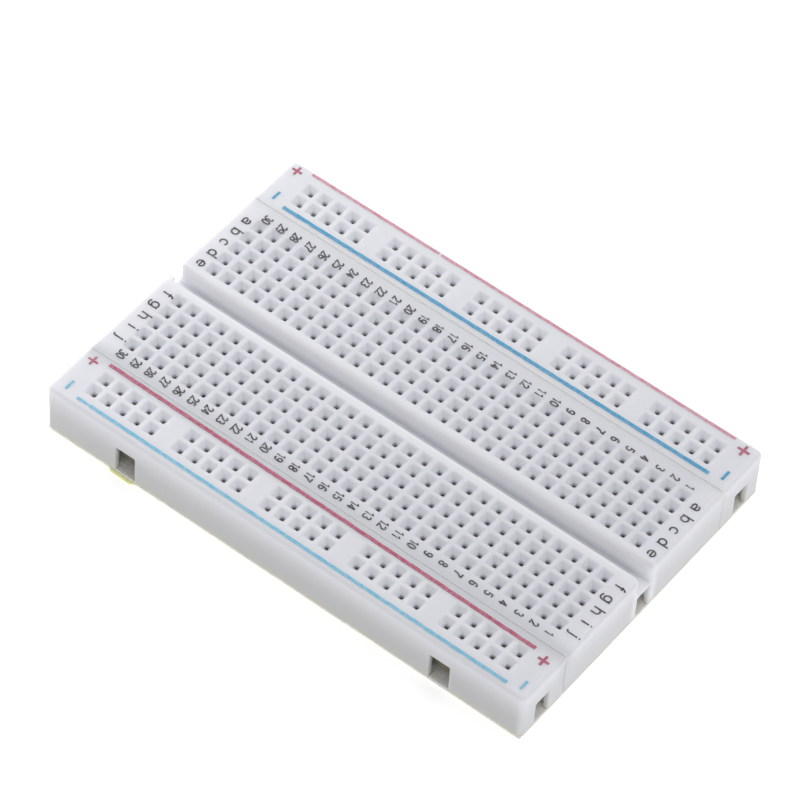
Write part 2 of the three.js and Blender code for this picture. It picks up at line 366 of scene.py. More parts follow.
def moulded_plastic():
    """White ABS: faintly translucent, satin, with flow marks and a fine eroded grain, and with shade
    and highlights painted into its colour by place.
    """
    shader = Shader(
        "white_moulded_plastic", IOR=1.5,
        Subsurface_Weight=0.65, Subsurface_Scale=1.0 * MM, Subsurface_Radius=(1.4, 1.35, 1.3),
    )
    mottle = shader.patches((0.09, 0.12, 0.12), 0.35, 0.7, detail=2)
    flow = shader.patches((0.06, 0.7, 0.5), 0.4, 0.75, detail=4, distortion=0.6)
    tone = shader.mix(shader.product(mottle, 0.7), PLASTIC_WHITE, PLASTIC_COOL)
    tone = shader.mix(shader.product(flow, 0.18), tone, PLASTIC_COOL)
    # Painted shade and painted highlights over the plastic's own tone.
    tone = shade_plastic(shader, tone)
    specks = shader.fade(shader.cells((0.45, 0.45, 0.45)), 0.035, 0.07, 0.35)
    shader.colour(shader.mix(specks, tone, PLASTIC_SPECK))
    shader.roughness(shader.patches((1.3, 1.3, 1.3), 0.3, 0.7, 0.36, 0.52, detail=4))
    shader.bump((shader.noise((9, 9, 9)), 0.006), (shader.noise((0.35, 0.9, 0.9)), 0.03))
    return shader.material


def recess_plastic():
    """The same ABS inside the sockets, matt from the mould's cores, with painted shade: mottled dark at
    the roof, lighter down the back wall and in the socket at the +X end.
    """
    shader = Shader("socket_painted_shade", IOR=1.5)
    # Painted shade: mottled dark at the roof, lighter down the back wall to its foot, and lighter in
    # the socket at the +X end.
    shade_mottle = shader.patches((1.1, 1.1, 1.1), 0.35, 0.7, detail=4)
    roof = shader.mix(shade_mottle, (0.23, 0.22, 0.17), (0.18, 0.17, 0.13))
    at_end = shader.remap(shader.coordinate("X"), END_X - 5, END_X - 3)
    roof = shader.mix(at_end, roof, (0.72, 0.71, 0.62))
    depth = shader.remap(shader.coordinate("Z"), BASE_Z - 0.3, BASE_Z + 1.3)
    shader.colour(shader.mix(depth, (0.64, 0.63, 0.59), roof))
    shader.roughness(shader.patches((3, 3, 3), 0.3, 0.7, 0.6, 0.8))
    shader.bump((shader.noise((9, 9, 9)), 0.01))
    return shader.material


def spring_metal():
    """Nickel-plated phosphor bronze strip with rolling lines."""
    shader = Shader("plated_spring_metal", Metallic=1.0)
    tarnish = shader.patches((0.5, 0.5, 0.5), 0.4, 0.72, detail=4)
    shader.colour(shader.mix(tarnish, (0.78, 0.76, 0.72), (0.62, 0.56, 0.46)))
    lines = shader.noise((1.2, 1.2, 22), detail=4)
    shader.roughness(shader.remap(lines, 0.3, 0.7, 0.2, 0.42))
    shader.bump((lines, 0.004), (shader.noise((4, 4, 4), detail=2), 0.01))
    return shader.material


def cellular_foam():
    """Off-white closed-cell foam: round cells of two sizes."""
    shader = Shader(
        "adhesive_foam", Roughness=0.9,
        Subsurface_Weight=0.5, Subsurface_Scale=0.8 * MM, Subsurface_Radius=(1.0, 0.98, 0.92),
    )
    coarse = shader.cells((3.2, 3.2, 3.2))
    fine = shader.cells((7.5, 7.5, 7.5))
    stain = shader.patches((0.3, 0.3, 0.3), 0.35, 0.7)
    body = shader.mix(stain, (0.93, 0.925, 0.90), (0.90, 0.89, 0.84))
    # Painted shade: the pits of the coarse cells are darkened.
    shader.colour(shader.mix(shader.fade(coarse, 0.05, 0.5, 0.3), body, (0.74, 0.72, 0.66)))
    shader.roughness(shader.remap(fine, 0.1, 0.6, 0.82, 0.95))
    shader.bump((coarse, 0.12), (fine, 0.05))
    return shader.material


def waxed_paper():
    """Yellow release paper: fibres below a thin glossy wax coat."""
    shader = Shader(
        "yellow_release_paper", Coat_Weight=0.35, Coat_Roughness=0.25,
        Subsurface_Weight=0.6, Subsurface_Scale=0.5 * MM, Subsurface_Radius=(1.0, 0.95, 0.45),
    )
    fibres = shader.noise((2.2, 7.0, 2.2), detail=6, distortion=1.2)
    cloud = shader.patches((0.12, 0.12, 0.12), 0.35, 0.7)
    tone = shader.mix(cloud, (0.97, 0.95, 0.52), (0.95, 0.92, 0.44))
    shader.colour(shader.mix(shader.remap(fibres, 0.45, 0.7, 0.0, 0.3), tone, (0.95, 0.92, 0.60)))
    shader.roughness(shader.remap(fibres, 0.3, 0.7, 0.4, 0.58))
    shader.bump((fibres, 0.012), (shader.noise((0.4, 0.4, 0.4), detail=2), 0.05))
    return shader.material


def pad_ink(name, colour, cover):
    """Pad-printed ink, thin enough in places for the plastic to show through.

    cover is the least share of the ink's colour, where the print is worst.
    """
    shader = Shader(name)
    blotch = shader.patches((1.6, 1.6, 1.6), 0.34, 0.62, cover, 1.0, detail=5, roughness=0.7)
    pinholes = shader.remap(shader.cells((5.5, 5.5, 5.5)), 0.05, 0.22, cover * 0.6, 1.0)
    share = shader.product(blotch, pinholes)
    shader.colour(shader.mix(share, PLASTIC_WHITE, colour))
    shader.roughness(shader.remap(share, 0.0, 1.0, 0.5, 0.38))
    shader.bump((share, 0.006), (shader.noise((9, 9, 9)), 0.004))
    return shader.material


PLASTIC = moulded_plastic()
RECESS_SHADE = recess_plastic()
METAL = spring_metal()
FOAM = cellular_foam()
PAPER = waxed_paper()
INK_BLACK = pad_ink("dark_grey_ink", (0.03, 0.03, 0.036), cover=0.8)
INK_RED = pad_ink("red_ink", (0.48, 0.09, 0.165), cover=0.85)
INK_PALE_RED = pad_ink("thin_red_ink", (0.69, 0.25, 0.33), cover=0.7)
INK_BLUE = pad_ink("blue_ink", (0.06, 0.35, 0.60), cover=0.85)
INK_PALE_BLUE = pad_ink("thin_blue_ink", (0.19, 0.54, 0.75), cover=0.75)

# ---- Mesh helpers ----


def make_object(name, points, faces, material, body, slot, sharp=40):
    """A piece from points in millimetres and face index lists, riding on a body."""
    mesh = bpy.data.meshes.new(name)
    mesh.from_pydata((np.asarray(points, float) * MM).tolist(), [], faces)
    work = bmesh.new()
    work.from_mesh(mesh)
    bmesh.ops.recalc_face_normals(work, faces=work.faces)
    work.to_mesh(mesh)
    work.free()
    mesh.shade_smooth()
    mesh.set_sharp_from_angle(angle=math.radians(sharp))
    mesh.materials.append(material)
    piece = add_to_scene(name, mesh)
    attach(piece, body)
    return piece


def weigh_normals(piece):
    """Keeps broad faces flat where they run into fillets."""
    modifier = piece.modifiers.new("flat_faces", "WEIGHTED_NORMAL")
    modifier.weight = 80
    modifier.keep_sharp = True


NEAR_DOUBLE = 0.004         # grid lines closer than this become one
TINY = 1e-6                 # slack where a point on a face is compared with it
NOT_ZERO = 1e-9             # the least distance that anything is divided by
FAR = 99.0                  # past the whole part


def smooth(share):
    """Eases a share from 0 to 1 in and out."""
    return share * share * (3 - 2 * share)


def lines(*groups):
    """Sorted grid lines without near doubles."""
    values = sorted(float(value) for group in groups for value in group)
    kept = [values[0]]
    for value in values[1:]:
        if value - kept[-1] > NEAR_DOUBLE:
            kept.append(value)
    return np.array(kept)


def fillet_lines(edge, inward, *radii, steps=2):
    """Lines that an edge's fillets need on one of its two faces, from the edge inward."""
    shares = [1 - math.tan(k * math.pi / 4 / steps) for k in range(steps)]
    return [edge] + [edge + inward * radius * share for radius in radii for share in shares]


class Lattice:
    """A solid made of the cells of a rectilinear grid, as boxes added and cut."""

    def __init__(self, xs, ys, zs):
        self.axes = (xs, ys, zs)
        self.solid = np.zeros([len(axis) - 1 for axis in self.axes], bool)

    def cells(self, low, high):
        spans = []
        for axis, a, b in zip(self.axes, low, high):
            middle = (axis[1:] + axis[:-1]) / 2
            spans.append((middle > a) & (middle < b))
        return np.ix_(*spans)

    def add(self, low, high):
        self.solid[self.cells(low, high)] = True

    def cut(self, low, high):
        self.solid[self.cells(low, high)] = False

    def index(self, axis, value):
        return int(np.argmin(abs(self.axes[axis] - value)))

    def vertex(self, i, j, k):
        return (i * len(self.axes[1]) + j) * len(self.axes[2]) + k

    def points(self):
        grid = np.meshgrid(*self.axes, indexing="ij")
        return np.stack([g.ravel() for g in grid], 1)

    def faces(self, holes=()):
        """Quads between solid and empty cells. holes are (x0, x1, y0, y1, z) left open."""
        padded = np.pad(self.solid, 1).astype(np.int8)
        skipped = {}
        for x0, x1, y0, y1, z in holes:
            k = self.index(2, z)
            mask = skipped.setdefault(k, np.zeros(self.solid.shape[:2], bool))
            mask[self.index(0, x0):self.index(0, x1), self.index(1, y0):self.index(1, y1)] = True
        made = []
        for axis in range(3):
            step = np.diff(padded, axis=axis)
            u, v = [(1, 2), (2, 0), (0, 1)][axis]
            for sign in (1, -1):
                found = np.argwhere(step == sign)
                for other in (u, v):
                    found[:, other] -= 1
                if axis == 2:
                    keep = [not (k in skipped and skipped[k][i, j]) for i, j, k in found]
                    found = found[np.array(keep, bool)]
                corners = []
                for du, dv in ((0, 0), (1, 0), (1, 1), (0, 1)):
                    at = found.copy()
                    at[:, u] += du
                    at[:, v] += dv
                    corners.append(self.vertex(at[:, 0], at[:, 1], at[:, 2]))
                quads = np.stack(corners if sign < 0 else corners[::-1], 1)
                made.extend(quads.tolist())
        return made

    def border(self, x0, x1, y0, y1, z):
        """The four sides of a rectangle on a z plane, anticlockwise from (x1, y1)."""
        across = range(self.index(0, x0), self.index(0, x1) + 1)
        up = range(self.index(1, y0), self.index(1, y1) + 1)
        k = self.index(2, z)
        top = [self.vertex(i, up[-1], k) for i in across[::-1]]
        left = [self.vertex(across[0], j, k) for j in up[::-1]]
        bottom = [self.vertex(i, up[0], k) for i in across]
        right = [self.vertex(across[-1], j, k) for j in up]
        return [top, left, bottom, right]


def compact(points, faces):
    """Drops the points that no face uses."""
    used = np.unique(np.concatenate([np.asarray(face) for face in faces]))
    place = np.full(len(points), -1)
    place[used] = np.arange(len(used))
    return points[used], [[int(place[v]) for v in face] for face in faces]


def rounded(u, v, radius):
    """Moves points near a square edge onto its fillet.

    u and v are the depths of the points below the edge's two faces.
    """
    a, b = radius - u, radius - v
    near = (a > 0) & (b > 0) & (u > -TINY) & (v > -TINY)
    share = np.where(near, np.maximum(a, b) / np.maximum(np.hypot(a, b), NOT_ZERO), 1.0)
    return np.where(near, radius - a * share, u), np.where(near, radius - b * share, v)


# ---- Contact holes ----

CORNER_STEPS = 4
MOUTH = 1.02                # half the mouth, where its wall and the top would meet
MOUTH_CORNER = 0.4          # corner radius of the mouth, seen from above
MOUTH_LIP = 0.03            # flat ring round the rim
RIM = 0.44                  # radius of the mouth's rounded rim
RIM_STEPS = 5
RIM_CORNER_LOSS = 0.02      # of the corner radius, at each step
THROAT = 0.36               # half the shaft
THROAT_CORNER = 0.22
THROAT_EASE = 0.12          # where the funnel's wall turns into the shaft's
FUNNEL_DEPTH = 0.84
FUNNEL_EASE = 0.11          # the turn starts this far above the funnel's foot
FUNNEL_CORNER = 0.28        # corner radius there,
FOOT_CORNER = 0.24          # and at the foot


def hole_rings():
    """Rings down a hole, each (half side, corner radius, depth below the top)."""
    slope = math.atan2(FUNNEL_DEPTH, MOUTH - THROAT)
    start = MOUTH + RIM * math.tan(slope / 2)
    rings = [(start + MOUTH_LIP, MOUTH_CORNER, 0.0)]
    for step in range(RIM_STEPS + 1):
        angle = slope * step / RIM_STEPS
        corner = MOUTH_CORNER - RIM_CORNER_LOSS * step
        rings.append((start - RIM * math.sin(angle), corner, RIM * (1 - math.cos(angle))))
    rings.append((THROAT + THROAT_EASE, FUNNEL_CORNER, FUNNEL_DEPTH - FUNNEL_EASE))
    rings.append((THROAT + THROAT_EASE / 4, FOOT_CORNER, FUNNEL_DEPTH))
    rings.append((THROAT, THROAT_CORNER, FUNNEL_DEPTH + THROAT_EASE))
    rings.append((THROAT, THROAT_CORNER, SKIN))
    return rings


def ring_points(half, corner):
    """A rounded square, anticlockwise from its (+x, +y) corner's start."""
    points = []
    flat = half - corner
    for quarter, (sx, sy) in enumerate(((1, 1), (-1, 1), (-1, -1), (1, -1))):
        for step in range(CORNER_STEPS + 1):
            angle = quarter * math.pi / 2 + step * math.pi / 2 / CORNER_STEPS
            points.append((flat * sx + corner * math.cos(angle), flat * sy + corner * math.sin(angle)))
    return points


HOLE_RINGS = hole_rings()
RING_SIZE = 4 * (CORNER_STEPS + 1)


def add_hole(points, faces, x, y, mouth_border, ceiling_border):
    """Adds a funnel and shaft between two openings left in a lattice."""
    first = len(points)
    for half, corner, depth in HOLE_RINGS:
        points.extend((x + px, y + py, TOP_Z - depth) for px, py in ring_points(half, corner))
    for level in range(len(HOLE_RINGS) - 1):
        upper = first + level * RING_SIZE
        for i in range(RING_SIZE):
            j = (i + 1) % RING_SIZE
            faces.append([upper + i, upper + j, upper + RING_SIZE + j, upper + RING_SIZE + i])
    for border, level in ((mouth_border, 0), (ceiling_border, len(HOLE_RINGS) - 1)):
        ring = first + level * RING_SIZE
        for quarter, side in enumerate(border):
            start = quarter * (CORNER_STEPS + 1) + CORNER_STEPS // 2
            arc = [ring + (start + i) % RING_SIZE for i in range(CORNER_STEPS + 2)]
            face = side + arc[::-1]
            faces.append(face if level == 0 else face[::-1])


# ---- Moulded blocks ----


class Deck:
    """A rectangle of top surface: its visible walls and the fillets along them."""

    def __init__(self, low_y, high_y, low_rim, high_rim):
        self.low = np.array((-END_X, low_y))
        self.high = np.array((END_X, high_y))
        self.low_rim = low_rim
        self.high_rim = high_rim

    def edges(self, x, y):
        """Distance from the nearer end and the nearer side, and the fillet there."""
        dx = np.minimum(x - self.low[0], self.high[0] - x)
        dy = np.minimum(y - self.low[1], self.high[1] - y)
        side_rim = np.where(y - self.low[1] < self.high[1] - y, self.low_rim, self.high_rim)
        past_x, past_y = np.clip(dx, 0, None), np.clip(dy, 0, None)
        share = past_y / np.maximum(past_x + past_y, NOT_ZERO)
        return dx, dy, side_rim + (END_RIM - side_rim) * share


def tower_round(points, chosen, deck, corners, foot=False):
    """Rounds the corners and the top, or the foot, of the walls under a deck.

    corners holds the corner radius at (low x, low y), (high x, low y), (low x, high y)
    and (high x, high y), each a number or one value per point.
    """
    x, y, z = points[chosen].T
    dx, dy, rim = deck.edges(x, y)
    if foot:
        rim = np.full(len(x), FOOT_FILLET)
    level, downward = (BASE_Z, -1) if foot else (TOP_Z, 1)
    inside = (dx > -TINY) & (dy > -TINY)
    inset = np.minimum(dx, dy)
    moved, sunk = rounded(inset, (level - z) * downward, rim)
    z = np.where(inside, level - sunk * downward, z)
    left = (x - deck.low[0]) < (deck.high[0] - x)
    near = (y - deck.low[1]) < (deck.high[1] - y)
    radius = np.where(near, np.where(left, *corners[:2]), np.where(left, *corners[2:]))
    a, b = radius - dx, radius - dy
    corner = inside & (a > 0) & (b > 0)
    share = np.clip(radius - moved, 0, None) / np.maximum(np.hypot(a, b), NOT_ZERO)
    new_dx = np.where(corner, radius - a * share, np.where(dx <= dy, moved, dx))
    new_dy = np.where(corner, radius - b * share, np.where(dy < dx, moved, dy))
    new_x = np.where(left, deck.low[0] + new_dx, deck.high[0] - new_dx)
    new_y = np.where(near, deck.low[1] + new_dy, deck.high[1] - new_dy)
    points[chosen] = np.column_stack([np.where(inside, new_x, x), np.where(inside, new_y, y), z])


def round_window(points, along, face, outward, middle, kind):
    """Rounds a socket window's lips. along is its width's axis number, face its wall."""
    out = 1 - along
    half, height = kind[0] / 2, kind[1]
    s = points[:, along] - middle
    deep = (face - points[:, out]) * outward
    rise = points[:, 2] - (BASE_Z + height)
    shallow = (deep > -TINY) & (deep < WINDOW_FILLET + TINY)
    side = shallow & (abs(s) > half - TINY) & (rise < TINY)
    u, v = rounded(abs(s) - half, deep, WINDOW_FILLET)
    points[side, along] = (middle + np.sign(s) * (half + u))[side]
    points[side, out] = (face - v * outward)[side]
    lintel = shallow & (rise > -TINY) & (abs(s) < half + TINY)
    u, v = rounded(rise, deep, WINDOW_FILLET)
    points[lintel, 2] = (BASE_Z + height + u)[lintel]
    points[lintel, out] = (face - v * outward)[lintel]


def tab_sizes(kind):
    """Half neck, half head, top, head start and reach of a dovetail tab."""
    half = kind[0] / 2 - DOVETAIL_FIT
    start = SEAM_GAP + SOCKET_WALL + DOVETAIL_FIT
    reach = SEAM_GAP + SOCKET_WALL + ROOM_DEPTH - DOVETAIL_FIT
    return half, half + ROOM_EXTRA, BASE_Z + kind[1] - DOVETAIL_FIT, start, reach


def round_tab(points, along, face, outward, middle, kind):
    """Rounds a tab's outer vertical edges and its top outer edge."""
    out = 1 - along
    _, head, top, start, reach = tab_sizes(kind)
    past = (points[:, out] - face) * outward
    s = points[:, along] - middle
    on_tab = (past > start - TINY) & (abs(s) < head + TINY)
    u, v = rounded(head - abs(s), reach - past, TAB_FILLET)
    s = np.sign(s) * (head - u)
    w, v = rounded(top - points[:, 2], v, TAB_FILLET)
    points[on_tab, along] = (middle + s)[on_tab]
    points[on_tab, out] = (face + (reach - v) * outward)[on_tab]
    points[on_tab, 2] = (top - w)[on_tab]


def around(middle, *halves):
    return [middle + sign * half for half in halves for sign in (-1, 1)]


def base_box(along, middle, half, one, other, top):
    """A box's corners, from the base up. along is the axis number of its width."""
    low = [middle - half, middle - half, BASE_Z]
    high = [middle + half, middle + half, top]
    low[1 - along], high[1 - along] = sorted((one, other))
    return low, high


def block_dovetails(low_y, high_y, deck):
    """A block's sockets with the tabs across from them.

    Each is (its width's axis number, middle, kind, direction into the socket, the
    visible and the nominal face of the socket, those of the tab).
    """
    end = (1, (low_y + high_y) / 2, END_SOCKET, -1, (END_X, END_X), (-END_X, -END_X))
    return [end] + [
        (0, x, SIDE_SOCKET, 1, (deck.low[1], low_y), (deck.high[1], high_y))
        for x in (-DOVETAIL_X, DOVETAIL_X)
    ]


def block_lines(deck, dovetails, holes, pockets, ravine):
    """The grid lines that a block needs along X, Y and Z."""
    half = PITCH / 2
    grid = [
        fillet_lines(-END_X, 1, END_RIM, CORNER_FILLET, FOOT_FILLET)
        + fillet_lines(END_X, -1, END_RIM, CORNER_FILLET, FOOT_FILLET),
        fillet_lines(deck.low[1], 1, deck.low_rim, END_RIM, CORNER_FILLET, FOOT_FILLET)
        + fillet_lines(deck.high[1], -1, deck.high_rim, END_RIM, CORNER_FILLET, FOOT_FILLET),
        fillet_lines(TOP_Z, -1, OUTER_RIM, SEAM_RIM) + fillet_lines(BASE_Z, 1, FOOT_FILLET)
        + fillet_lines(TOP_Z, -1, RAVINE_NEAR_RIM, RAVINE_FAR_RIM, steps=3) + [CEILING_Z],
    ]
    for axis in (0, 1):
        grid[axis] += [hole[axis] + sign * half for hole in holes for sign in (-1, 1)]
        grid[axis] += [edge for pocket in pockets for edge in pocket[2 * axis:2 * axis + 2]]
    for along, middle, kind, way, (window, socket), (_, tab) in dovetails:
        neck, head, top, start, reach = tab_sizes(kind)
        grid[along] += around(middle, kind[0] / 2 + ROOM_EXTRA, neck)
        for sign in (-1, 1):
            grid[along] += fillet_lines(middle + sign * kind[0] / 2, sign, WINDOW_FILLET)
            grid[along] += fillet_lines(middle + sign * head, -sign, TAB_FILLET)
        grid[1 - along] += [socket + way * SOCKET_WALL, socket + way * SOCKET_BACK, tab + way * start]
        grid[1 - along] += fillet_lines(window, way, WINDOW_FILLET)
        grid[1 - along] += fillet_lines(tab + way * reach, -way, TAB_FILLET)
        grid[2] += fillet_lines(BASE_Z + kind[1], 1, WINDOW_FILLET)
        grid[2] += fillet_lines(top, -1, TAB_FILLET)
    if ravine:
        grid[0] += [-CORE_LENGTH / 2, CORE_LENGTH / 2]
        grid[1] += [-CORE_WIDTH / 2, CORE_WIDTH / 2]
        grid[2] += [BASE_Z + CORE_HEIGHT, *(RAVINE_Z + RAVINE_RAMP * step / 4 for step in range(5))]
        for sign, rim in ((-1, RAVINE_NEAR_RIM), (1, RAVINE_FAR_RIM)):
            grid[0] += fillet_lines(sign * END_X, -sign, RAVINE_CORNER, steps=3)
            grid[1] += fillet_lines(sign * RAVINE_WIDTH / 2, sign, rim, RAVINE_CORNER, steps=3)
    return [lines(values) for values in grid]


def block_mesh(deck, dovetails, holes, pockets, ravine):
    """Points and faces of a moulded block, open below over its clip pockets."""
    solid = Lattice(*block_lines(deck, dovetails, holes, pockets, ravine))
    solid.add((*deck.low, BASE_Z), (*deck.high, TOP_Z))
    for x0, x1, y0, y1 in pockets:
        solid.cut((x0, y0, BASE_Z), (x1, y1, CEILING_Z))
    if ravine:
        solid.cut((-FAR, -RAVINE_WIDTH / 2, RAVINE_Z), (FAR, RAVINE_WIDTH / 2, FAR))
        core = np.array((CORE_LENGTH, CORE_WIDTH)) / 2
        solid.cut((*-core, BASE_Z), (*core, BASE_Z + CORE_HEIGHT))
    for along, middle, kind, way, (window, socket), (root, tab) in dovetails:
        neck, head, tab_top, start, reach = tab_sizes(kind)
        half, top = kind[0] / 2, BASE_Z + kind[1]
        back, tip = socket + way * SOCKET_BACK, tab + way * reach
        room = socket + way * SOCKET_WALL
        solid.cut(*base_box(along, middle, half, window, back, top))
        solid.cut(*base_box(along, middle, half + ROOM_EXTRA, room, back, top))
        solid.add(*base_box(along, middle, neck, root, tip, tab_top))
        solid.add(*base_box(along, middle, head, tab + way * start, tip, tab_top))

    mouths, ceilings = [], []
    for x, y in holes:
        mouth = (x - PITCH / 2, x + PITCH / 2, y - PITCH / 2, y + PITCH / 2)
        x0, x1, y0, y1 = [p for p in pockets if p[0] < x < p[1] and p[2] < y < p[3]][0]
        ceiling = (max(x0, mouth[0]), min(x1, mouth[1]), max(y0, mouth[2]), min(y1, mouth[3]))
        mouths.append((*mouth, TOP_Z))
        ceilings.append((*ceiling, CEILING_Z))
    faces = solid.faces(mouths + ceilings)
    points = solid.points()
    for along, middle, kind, way, (window, _), (_, tab) in dovetails:
        round_window(points, along, window, -way, middle, kind)
        round_tab(points, along, tab, way, middle, kind)
    shape_block(points, deck, ravine)
    points = points.tolist()
    for (x, y), mouth, ceiling in zip(holes, mouths, ceilings):
        add_hole(points, faces, x, y, solid.border(*mouth), solid.border(*ceiling))
    return compact(np.array(points), faces)


def shape_block(points, deck, ravine):
    """Rounds every outer edge of a block, and of each side of its ravine."""
    corners = [
        CORNER_FILLET if rim == OUTER_RIM else SEAM_CORNER
        for rim in (deck.low_rim, deck.low_rim, deck.high_rim, deck.high_rim)
    ]
    split = RAVINE_Z + TINY if ravine else (BASE_Z + TOP_Z) / 2
    lower = points[:, 2] < split
    tower_round(points, lower, deck, corners, foot=True)
    if not ravine:
        tower_round(points, ~lower, deck, corners)
        return
    for sign in (-1, 1):
        mine = ~lower & (points[:, 1] * sign > RAVINE_WIDTH / 2 - TINY)
        ramp = np.clip((points[mine, 2] - RAVINE_Z) / RAVINE_RAMP, 0, 1)
        inner = RAVINE_CORNER * np.sin(ramp * math.pi / 2)
        outer = np.full(len(ramp), SEAM_CORNER)
        if sign < 0:
            side = Deck(deck.low[1], -RAVINE_WIDTH / 2, deck.low_rim, RAVINE_NEAR_RIM)
            tower_round(points, mine, side, [outer, outer, inner, inner])
        else:
            side = Deck(RAVINE_WIDTH / 2, deck.high[1], RAVINE_FAR_RIM, deck.high_rim)
            tower_round(points, mine, side, [inner, inner, outer, outer])


def shade_recesses(piece, dovetails):
    """Gives the back wall and the roof inside a block's sockets the material with painted shade."""
    mesh = piece.data
    mesh.materials.append(RECESS_SHADE)
    centres = np.empty(3 * len(mesh.polygons))
    mesh.polygons.foreach_get("center", centres)
    centres = centres.reshape(-1, 3) / MM
    slack = 0.01
    chosen = np.zeros(len(centres), bool)
    for along, middle, kind, way, (_, socket), _ in dovetails:
        deep = (centres[:, 1 - along] - socket) * way
        below = BASE_Z + kind[1] + slack - centres[:, 2]
        inside = (deep > SOCKET_WALL - slack) & (deep < SOCKET_BACK + slack) & (below > 0)
        inside &= abs(centres[:, along] - middle) < kind[0] / 2 + ROOM_EXTRA + slack
        chosen |= inside & ((deep > SOCKET_BACK - 2 * slack) | (below < 2 * slack))
    mesh.polygons.foreach_set("material_index", chosen.astype(np.int32))


TERMINAL_DECK = Deck(-TERMINAL_HALF - SEAM_GROWTH, TERMINAL_HALF + SEAM_GROWTH, SEAM_RIM, SEAM_RIM)
FRONT_DECK = Deck(FRONT_Y, -STRIP_INNER + SEAM_GROWTH, OUTER_RIM, SEAM_RIM)
REAR_DECK = Deck(STRIP_INNER - SEAM_GROWTH, REAR_Y, SEAM_RIM, OUTER_RIM)


def block_piece(strip, low_y, high_y, deck, holes, pockets, ravine=False):
    """A moulded block, whose sockets and tabs are placed from the CAD block's sides."""
    dovetails = block_dovetails(low_y, high_y, deck)
    points, faces = block_mesh(deck, dovetails, holes, pockets, ravine)
    piece = make_object(f"{strip}_moulding", points, faces, PLASTIC, strip, "block_plastic")
    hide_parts(f"{strip}_block")
    shade_recesses(piece, dovetails)
    weigh_normals(piece)


def terminal_strip():
    holes, pockets = [], []
    reach = CLIP_SPAN / 2 + POCKET_MARGIN
    for row in range(1, ROWS + 1):
        x = row_x(row)
        holes.extend((x, column_y(letter)) for letter in COLUMNS)
        for y in (-CLIP_Y, CLIP_Y):
            pockets.append((x - POCKET_WIDTH / 2, x + POCKET_WIDTH / 2, y - reach, y + reach))
    block_piece("terminal_strip", -TERMINAL_HALF, TERMINAL_HALF, TERMINAL_DECK, holes, pockets, True)


def bus_x_places():
    for group in range(BUS_GROUPS):
        for place in range(HOLES_PER_CLIP):
            first = (group - (BUS_GROUPS - 1) / 2) * BUS_GROUP_PITCH - (HOLES_PER_CLIP - 1) / 2
            yield (first + place) * PITCH


def bus_strip(side, low_y, high_y, deck):
    holes, pockets = [], []
    places = list(bus_x_places())
    ends = (min(places) - POCKET_MARGIN, max(places) + POCKET_MARGIN)
    for y in bus_columns(side):
        holes.extend((x, y) for x in places)
        pockets.append((*ends, y - POCKET_WIDTH / 2, y + POCKET_WIDTH / 2))
    block_piece(f"{side}_bus_strip", low_y, high_y, deck, holes, pockets)


terminal_strip()
bus_strip("front", FRONT_Y, -STRIP_INNER, FRONT_DECK)
bus_strip("rear", STRIP_INNER, REAR_Y, REAR_DECK)

# ---- Spring clips ----

METAL_THICKNESS = 0.2
CLIP_HALF_WIDTH = 0.67
FINGER_GAP = 0.34           # slit between two neighbouring contacts
SPINE_HEIGHT = 1.0          # the slits stop above the spine
SPINE_BEND = 0.34           # radius where the spine turns up into the fingers
SPINE_STEPS = 4
FINGER_LEAN = 0.02
FINGER_STEPS = 7
PINCH_HALF_GAP = 0.09       # between the facing fingers where they are nearest,
PINCH_SHARE = 0.76          # at this share of the clip's height
FLARE_SHARE = 0.62          # a finger's tip, as a share of the clip's half width
FLARE_STEPS = 4
FLARE_CURVE = 1.6


def clip_profile(half_width, height):
    """Half of the bent strip's middle line, from the spine's centre to a finger's tip."""
    straight = half_width - SPINE_BEND
    points = [(0.0, 0.0), (straight, 0.0)]
    for step in range(1, SPINE_STEPS + 1):
        angle = step * math.pi / 2 / SPINE_STEPS
        across, rise = SPINE_BEND * math.sin(angle), SPINE_BEND * math.cos(angle)
        points.append((straight + across, SPINE_BEND - rise))
    foot = half_width - FINGER_LEAN
    pinch = METAL_THICKNESS / 2 + PINCH_HALF_GAP
    pinch_height = PINCH_SHARE * height
    points.append((foot, SPINE_HEIGHT))
    for share in np.linspace(0, 1, FINGER_STEPS + 1)[1:]:
        rise = SPINE_HEIGHT + (pinch_height - SPINE_HEIGHT) * share
        points.append((foot + (pinch - foot) * smooth(share), rise))
    flare = half_width * FLARE_SHARE
    for share in np.linspace(0, 1, FLARE_STEPS + 1)[1:]:
        rise = pinch_height + (height - pinch_height) * share
        points.append((pinch + (flare - pinch) * share ** FLARE_CURVE, rise))
    return np.array(points)


def offset_line(points, distance):
    """A line beside the given one. Its ends move square to their segments."""
    before = np.vstack([points[:1] - (points[1:2] - points[:1]), points[:-1]])
    after = np.vstack([points[1:], points[-1:] + (points[-1:] - points[-2:-1])])
    along = after - before
    along /= np.linalg.norm(along, axis=1)[:, None]
    normal = np.stack([along[:, 1], -along[:, 0]], 1)
    return points + normal * distance


